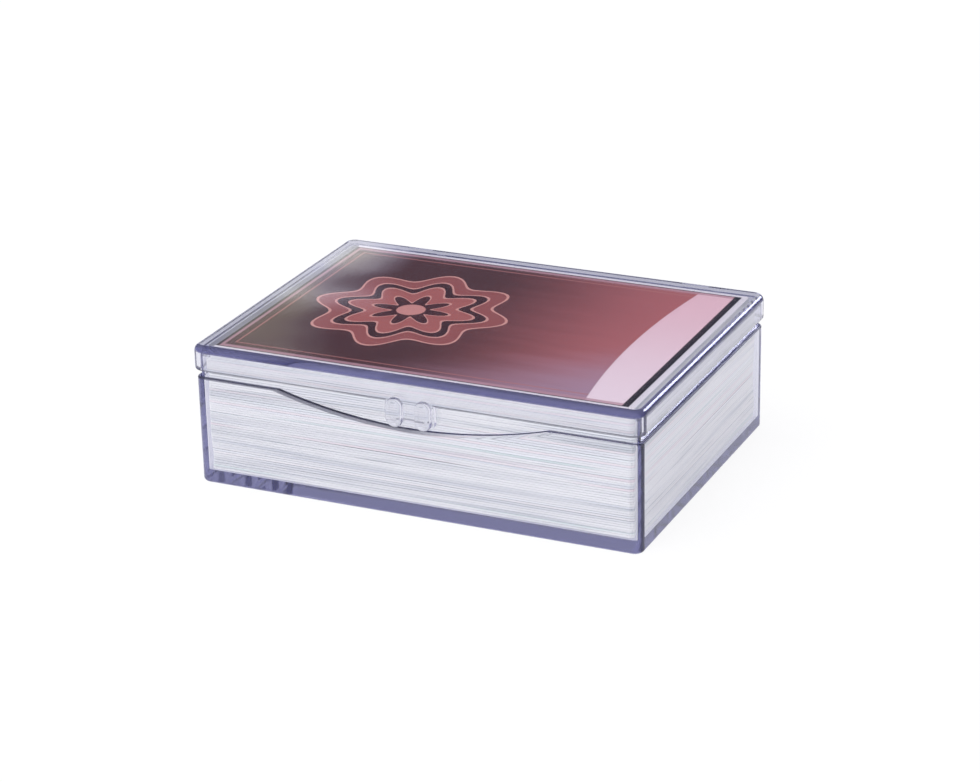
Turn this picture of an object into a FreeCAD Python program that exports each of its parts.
import FreeCAD, Part
import math
import os

# Clear hinged card box, moulded in two halves, standing full of trading cards.
# The origin is at the middle of the underside of the tub. X runs along the long side, Y from the
# latch at the front to the hinge at the back, and Z up. All lengths are in millimetres.

# Cards: one standard trading card and how many of them fill the box
CARD_LENGTH = 88.9
CARD_WIDTH = 63.5
CARD_THICKNESS = 0.47
CARD_AIR = 0.02
CARD_COUNT = 50
CARD_PLAY = 0.6

# How the stack has settled: shares of the play that the cards have slid to the left or lie uneven
SLID_SHARE = 0.3
UNEVEN_SHARE = 0.2
SETTLED_TOP_SHARE = 0.16
UNEVEN_TURN_X = 0.23
UNEVEN_TURN_Y = 0.37

# Walls, from the inside to the outside
RIM_WALL = 0.8
LID_FIT = 0.2
SKIRT_WALL = 1.0
LID_OVERHANG = 0.4
FLOOR = 2.6
LID_PLATE = 1.6
INNER_CORNER = 0.4

# Heights of the closing edge
HEAD_GAP = 0.2
RIM_GAP = 0.3
SKIRT_DEPTH = 5.15
SHOULDER_GAP = 1.5

# Edge rounding
LID_EDGE_ROUND = 0.9
SKIRT_EDGE_ROUND = 0.25
TUB_EDGE_ROUND = 0.8
RIM_LEAD_IN = 0.3

# Thumb recess in the front of the tub, where the shoulder dips in a crescent
THUMB_SPAN = 56.3
THUMB_DROP = 3.95
THUMB_EDGE_ROUND = 0.3

# Latch tab of the lid with its two thumb ribs, and the bead that it snaps over
TAB_WIDTH = 10.3
TAB_DROP = 4.95
TAB_CORNER = 1.6
RIB_WIDTH = 3.4
RIB_CORNER = 1.6
RIB_SPREAD = 6.0
RIB_RISE = 0.9
RIB_PROUD = 1.1
RIB_ROUND = 0.7
BEAD_LENGTH = 6.0
BEAD_RADIUS = 0.5
BEAD_PROUD = 0.1
BEAD_RISE = 1.2

# Hinges: pins of the lid that turn in ears of the tub, with a heel that stops the lid
HINGE_SPREAD = 62.0
HINGE_DROP = 1.2
HINGE_CLEAR = 0.3
HINGE_SIDE_GAP = 0.2
HINGE_OPEN_DEGREES = 115
PIN_RADIUS = 0.9
PIN_FIT = 0.05
PIN_SHORT = 0.2
EAR_WALL = 0.85
EAR_WIDTH = 2.0
EAR_DROP = 6.0
KNUCKLE_WALL = 0.7
KNUCKLE_WIDTH = 6.0
ARM_HEIGHT = 2.4
HEEL_OVERLAP = 0.3
HEEL_GAP = 0.15

# Reach of cutting shapes past the faces that they cut, and how near a plane an edge on it lies
OVERRUN = 1.0
ON_PLANE = 0.01

# Plan sizes worked out from the cards
INNER_LENGTH = CARD_LENGTH + 2 * CARD_PLAY
INNER_WIDTH = CARD_WIDTH + 2 * CARD_PLAY
RIM_LENGTH = INNER_LENGTH + 2 * RIM_WALL
RIM_WIDTH = INNER_WIDTH + 2 * RIM_WALL
RIM_CORNER = INNER_CORNER + RIM_WALL
LID_INNER_LENGTH = RIM_LENGTH + 2 * LID_FIT
LID_INNER_WIDTH = RIM_WIDTH + 2 * LID_FIT
LID_INNER_CORNER = RIM_CORNER + LID_FIT
LID_LENGTH = LID_INNER_LENGTH + 2 * SKIRT_WALL
LID_WIDTH = LID_INNER_WIDTH + 2 * SKIRT_WALL
LID_CORNER = LID_INNER_CORNER + SKIRT_WALL
TUB_LENGTH = LID_LENGTH - 2 * LID_OVERHANG
TUB_WIDTH = LID_WIDTH - 2 * LID_OVERHANG
TUB_CORNER = LID_CORNER - LID_OVERHANG

# Heights worked out from the stack of cards
CARD_PITCH = CARD_THICKNESS + CARD_AIR
STACK_TOP = FLOOR + CARD_COUNT * CARD_PITCH
PLATE_UNDERSIDE = STACK_TOP + HEAD_GAP
LID_TOP = PLATE_UNDERSIDE + LID_PLATE
RIM_TOP = PLATE_UNDERSIDE - RIM_GAP
SKIRT_EDGE = LID_TOP - SKIRT_DEPTH
SHOULDER = SKIRT_EDGE - SHOULDER_GAP
TAB_LOW = SKIRT_EDGE - TAB_DROP

# Hinge sizes worked out from the pin
EAR_RADIUS = PIN_RADIUS + PIN_FIT + EAR_WALL
KNUCKLE_RADIUS = PIN_RADIUS + KNUCKLE_WALL
HINGE_STANDOFF = EAR_RADIUS + LID_OVERHANG + HINGE_CLEAR
HEEL_REACH = HINGE_STANDOFF + HEEL_OVERLAP
HINGE_Y = TUB_WIDTH / 2 + HINGE_STANDOFF
HINGE_Z = SKIRT_EDGE - HINGE_DROP

ALONG = FreeCAD.Vector(1, 0, 0)
UP = FreeCAD.Vector(0, 0, 1)
QUARTER_TURN = math.pi / 2


def rounded_outline(length, width, corner, height):
    """Level outline of a rectangle with four round corners."""
    arcs = []
    for quarter, (side_x, side_y) in enumerate([(1, 1), (-1, 1), (-1, -1), (1, -1)]):
        middle_x = side_x * (length / 2 - corner)
        middle_y = side_y * (width / 2 - corner)
        circle = Part.Circle(FreeCAD.Vector(middle_x, middle_y, height), UP, corner)
        arcs.append(Part.ArcOfCircle(circle, quarter * QUARTER_TURN, (quarter + 1) * QUARTER_TURN))
    edges = []
    for arc, following in zip(arcs, arcs[1:] + arcs[:1]):
        edges.append(arc.toShape())
        edges.append(Part.LineSegment(arc.EndPoint, following.StartPoint).toShape())
    return Part.Wire(edges)


def slab(length, width, corner, low, high):
    """Upright prism with round corners, centred on the Z axis."""
    outline = Part.Face(rounded_outline(length, width, corner, low))
    return outline.extrude(UP * (high - low))


def upright_slab(length, height, corner, middle, front, back):
    """Prism with round corners that stands upright on the level of the tab's lower end."""
    outline = Part.Face(rounded_outline(length, height, corner, 0))
    outline.rotate(FreeCAD.Vector(0, 0, 0), ALONG, 90)
    outline.translate(FreeCAD.Vector(middle, front, TAB_LOW + height / 2))
    return outline.extrude(FreeCAD.Vector(0, back - front, 0))


def level_edges(shape, height):
    """Edges of a shape that lie level at one height."""
    found = []
    for edge in shape.Edges:
        box = edge.BoundBox
        if abs(box.ZMin - height) < ON_PLANE and abs(box.ZMax - height) < ON_PLANE:
            found.append(edge)
    return found


def front_edges(shape, depth):
    """Edges of a shape that lie in the upright plane at one place along Y."""
    found = []
    for edge in shape.Edges:
        box = edge.BoundBox
        if abs(box.YMin - depth) < ON_PLANE and abs(box.YMax - depth) < ON_PLANE:
            found.append(edge)
    return found


def touch_point(point, radius, side):
    """Where a line from a point touches a circle about the hinge axis, on the side given by +1 or -1."""
    away_y = point.y - HINGE_Y
    away_z = point.z - HINGE_Z
    spread = math.acos(radius / math.hypot(away_y, away_z))
    turn = math.atan2(away_z, away_y) + side * spread
    return hinge_point(point.x, radius, turn)


def hinge_point(x, radius, turn):
    """Point at a radius and an angle about the hinge axis, where angle zero points to the back."""
    return FreeCAD.Vector(x, HINGE_Y + radius * math.cos(turn), HINGE_Z + radius * math.sin(turn))


def line(start, end):
    """Straight edge between two points."""
    return Part.LineSegment(start, end).toShape()


def arc_about_hinge(start, end, radius):
    """Arc from start to end about the hinge axis, clockwise as seen from +X."""
    first = math.atan2(start.z - HINGE_Z, start.y - HINGE_Y)
    last = math.atan2(end.z - HINGE_Z, end.y - HINGE_Y)
    if last > first:
        last -= 2 * math.pi
    middle = hinge_point(start.x, radius, (first + last) / 2)
    return Part.Arc(start, middle, end).toShape()


def hinge_ear(x):
    """Ear on the back wall of the tub: a round eye on a gusset that runs down the wall."""
    wall = TUB_WIDTH / 2
    rooted = wall - RIM_WALL
    top = FreeCAD.Vector(x, wall, HINGE_Z)
    foot = FreeCAD.Vector(x, wall, HINGE_Z - EAR_DROP)
    top_root = FreeCAD.Vector(x, rooted, HINGE_Z)
    foot_root = FreeCAD.Vector(x, rooted, HINGE_Z - EAR_DROP)
    top_touch = touch_point(top, EAR_RADIUS, -1)
    foot_touch = touch_point(foot, EAR_RADIUS, 1)
    outline = [line(foot_root, top_root), line(top_root, top), line(top, top_touch)]
    outline.append(arc_about_hinge(top_touch, foot_touch, EAR_RADIUS))
    outline.append(line(foot_touch, foot))
    outline.append(line(foot, foot_root))
    return Part.Face(Part.Wire(outline)).extrude(ALONG * EAR_WIDTH)


def hinge_knuckle(x):
    """Arm on the back of the lid with the round knuckle and the heel that meets the tub when open."""
    skirt = LID_WIDTH / 2
    rooted = skirt - SKIRT_WALL / 2
    low_root = FreeCAD.Vector(x, rooted, SKIRT_EDGE)
    low = FreeCAD.Vector(x, skirt, SKIRT_EDGE)
    high_root = FreeCAD.Vector(x, rooted, SKIRT_EDGE + ARM_HEIGHT)
    stop_turn = math.acos((HINGE_STANDOFF - HEEL_GAP) / HEEL_REACH)
    heel = hinge_point(x, HEEL_REACH, stop_turn + math.radians(HINGE_OPEN_DEGREES) - math.pi)
    high_touch = touch_point(high_root, KNUCKLE_RADIUS, -1)
    heel_high = touch_point(heel, KNUCKLE_RADIUS, 1)
    heel_low = touch_point(heel, KNUCKLE_RADIUS, -1)
    low_touch = touch_point(low, KNUCKLE_RADIUS, 1)
    outline = [line(low, low_root), line(low_root, high_root), line(high_root, high_touch)]
    outline.append(arc_about_hinge(high_touch, heel_high, KNUCKLE_RADIUS))
    outline.append(line(heel_high, heel))
    outline.append(line(heel, heel_low))
    outline.append(arc_about_hinge(heel_low, low_touch, KNUCKLE_RADIUS))
    outline.append(line(low_touch, low))
    return Part.Face(Part.Wire(outline)).extrude(ALONG * KNUCKLE_WIDTH)


def thumb_recess():
    """Cutting prism that lowers the front shoulder in a crescent, down to the face of the rim."""
    front = -TUB_WIDTH / 2 - OVERRUN
    half = THUMB_SPAN / 2
    left = FreeCAD.Vector(-half, front, SHOULDER)
    lowest = FreeCAD.Vector(0, front, SHOULDER - THUMB_DROP)
    right = FreeCAD.Vector(half, front, SHOULDER)
    right_over = FreeCAD.Vector(half, front, SHOULDER + OVERRUN)
    left_over = FreeCAD.Vector(-half, front, SHOULDER + OVERRUN)
    outline = [Part.Arc(left, lowest, right).toShape(), line(right, right_over)]
    outline += [line(right_over, left_over), line(left_over, left)]
    depth = -RIM_WIDTH / 2 - front
    return Part.Face(Part.Wire(outline)).extrude(FreeCAD.Vector(0, depth, 0))


def snap_bead():
    """Low round bead in the thumb recess that the latch tab snaps over."""
    buried = -RIM_WIDTH / 2 + BEAD_RADIUS - BEAD_PROUD
    start = FreeCAD.Vector(-BEAD_LENGTH / 2, buried, TAB_LOW + BEAD_RISE)
    return Part.makeCylinder(BEAD_RADIUS, BEAD_LENGTH, start, ALONG)


def base_tub():
    """Open tub with a thin rim inside the lid, a thumb recess and four hinge ears."""
    body = slab(TUB_LENGTH, TUB_WIDTH, TUB_CORNER, 0, SHOULDER)
    body = body.makeFillet(TUB_EDGE_ROUND, level_edges(body, 0))
    body = body.cut(thumb_recess())
    front = front_edges(body, -TUB_WIDTH / 2)
    crescent = [edge for edge in front if edge.Curve.TypeId == "Part::GeomCircle"]
    body = body.makeFillet(THUMB_EDGE_ROUND, crescent)
    rim = slab(RIM_LENGTH, RIM_WIDTH, RIM_CORNER, FLOOR, RIM_TOP)
    rim = rim.makeChamfer(RIM_LEAD_IN, level_edges(rim, RIM_TOP))
    added = [rim, snap_bead()]
    bores = []
    for side in (-1, 1):
        middle = side * HINGE_SPREAD / 2
        clear = KNUCKLE_WIDTH / 2 + HINGE_SIDE_GAP
        added += [hinge_ear(middle - clear - EAR_WIDTH), hinge_ear(middle + clear)]
        bore_start = FreeCAD.Vector(middle - clear - EAR_WIDTH - OVERRUN, HINGE_Y, HINGE_Z)
        bore_length = 2 * (clear + EAR_WIDTH + OVERRUN)
        bores.append(Part.makeCylinder(PIN_RADIUS + PIN_FIT, bore_length, bore_start, ALONG))
    hollow = slab(INNER_LENGTH, INNER_WIDTH, INNER_CORNER, FLOOR, RIM_TOP + OVERRUN)
    return body.fuse(added).cut([hollow] + bores).removeSplitter()


def latch_tab():
    """Front tab that hangs from the skirt, with two rounded thumb ribs."""
    skirt = -LID_WIDTH / 2
    height = SKIRT_EDGE + RIB_RISE - TAB_LOW
    tab = upright_slab(TAB_WIDTH, height, TAB_CORNER, 0, skirt, skirt + SKIRT_WALL)
    for side in (-1, 1):
        front = skirt - RIB_PROUD
        middle = side * RIB_SPREAD / 2
        rib = upright_slab(RIB_WIDTH, height, RIB_CORNER, middle, front, skirt + SKIRT_WALL / 2)
        tab = tab.fuse(rib.makeFillet(RIB_ROUND, front_edges(rib, front)))
    return tab


def hinged_lid():
    """Flat clear lid with a skirt, a latch tab at the front and two hinge knuckles at the back."""
    shell = slab(LID_LENGTH, LID_WIDTH, LID_CORNER, SKIRT_EDGE, LID_TOP)
    shell = shell.makeFillet(LID_EDGE_ROUND, level_edges(shell, LID_TOP))
    shell = shell.makeFillet(SKIRT_EDGE_ROUND, level_edges(shell, SKIRT_EDGE))
    added = [latch_tab()]
    for side in (-1, 1):
        middle = side * HINGE_SPREAD / 2
        added.append(hinge_knuckle(middle - KNUCKLE_WIDTH / 2))
        pin_reach = KNUCKLE_WIDTH / 2 + HINGE_SIDE_GAP + EAR_WIDTH - PIN_SHORT
        pin_start = FreeCAD.Vector(middle - pin_reach, HINGE_Y, HINGE_Z)
        added.append(Part.makeCylinder(PIN_RADIUS, 2 * pin_reach, pin_start, ALONG))
    hollow = slab(LID_INNER_LENGTH, LID_INNER_WIDTH, LID_INNER_CORNER, TAB_LOW - OVERRUN, PLATE_UNDERSIDE)
    return shell.fuse(added).cut(hollow).removeSplitter()


def trading_card(index):
    """One square-cut card in the stack: the lower ones have slid left, the last ones lie in the middle."""
    height_share = index / CARD_COUNT
    slid = SLID_SHARE * min(1, (1 - height_share) / SETTLED_TOP_SHARE)
    move_x = CARD_PLAY * (UNEVEN_SHARE * math.sin(UNEVEN_TURN_X * index) - slid)
    move_y = CARD_PLAY * UNEVEN_SHARE * math.sin(UNEVEN_TURN_Y * index)
    low = FLOOR + CARD_AIR + index * CARD_PITCH
    corner = FreeCAD.Vector(move_x - CARD_LENGTH / 2, move_y - CARD_WIDTH / 2, low)
    return Part.makeBox(CARD_LENGTH, CARD_WIDTH, CARD_THICKNESS, corner)


def save(shape, node):
    """Write one piece to its own file, and say whether it is one sound solid."""
    solid = shape.Solids[0]
    solid.exportStep(os.path.join("parts", node + ".step"))
    return len(shape.Solids) == 1 and solid.isValid()


os.makedirs("parts", exist_ok=True)
pieces = {"base_tub": base_tub(), "hinged_lid": hinged_lid()}
for number in range(CARD_COUNT):
    pieces[f"card_{number + 1:02d}"] = trading_card(number)
for node, shape in pieces.items():
    if not save(shape, node):
        print(node, "is not one valid solid")
for node in ("base_tub", "hinged_lid"):
    box = pieces[node].BoundBox
    print(node, [round(size, 2) for size in (box.XLength, box.YLength, box.ZMin, box.ZMax)])
print("hinge axis at y", round(HINGE_Y, 3), "z", round(HINGE_Z, 3), "lid top", round(LID_TOP, 3))
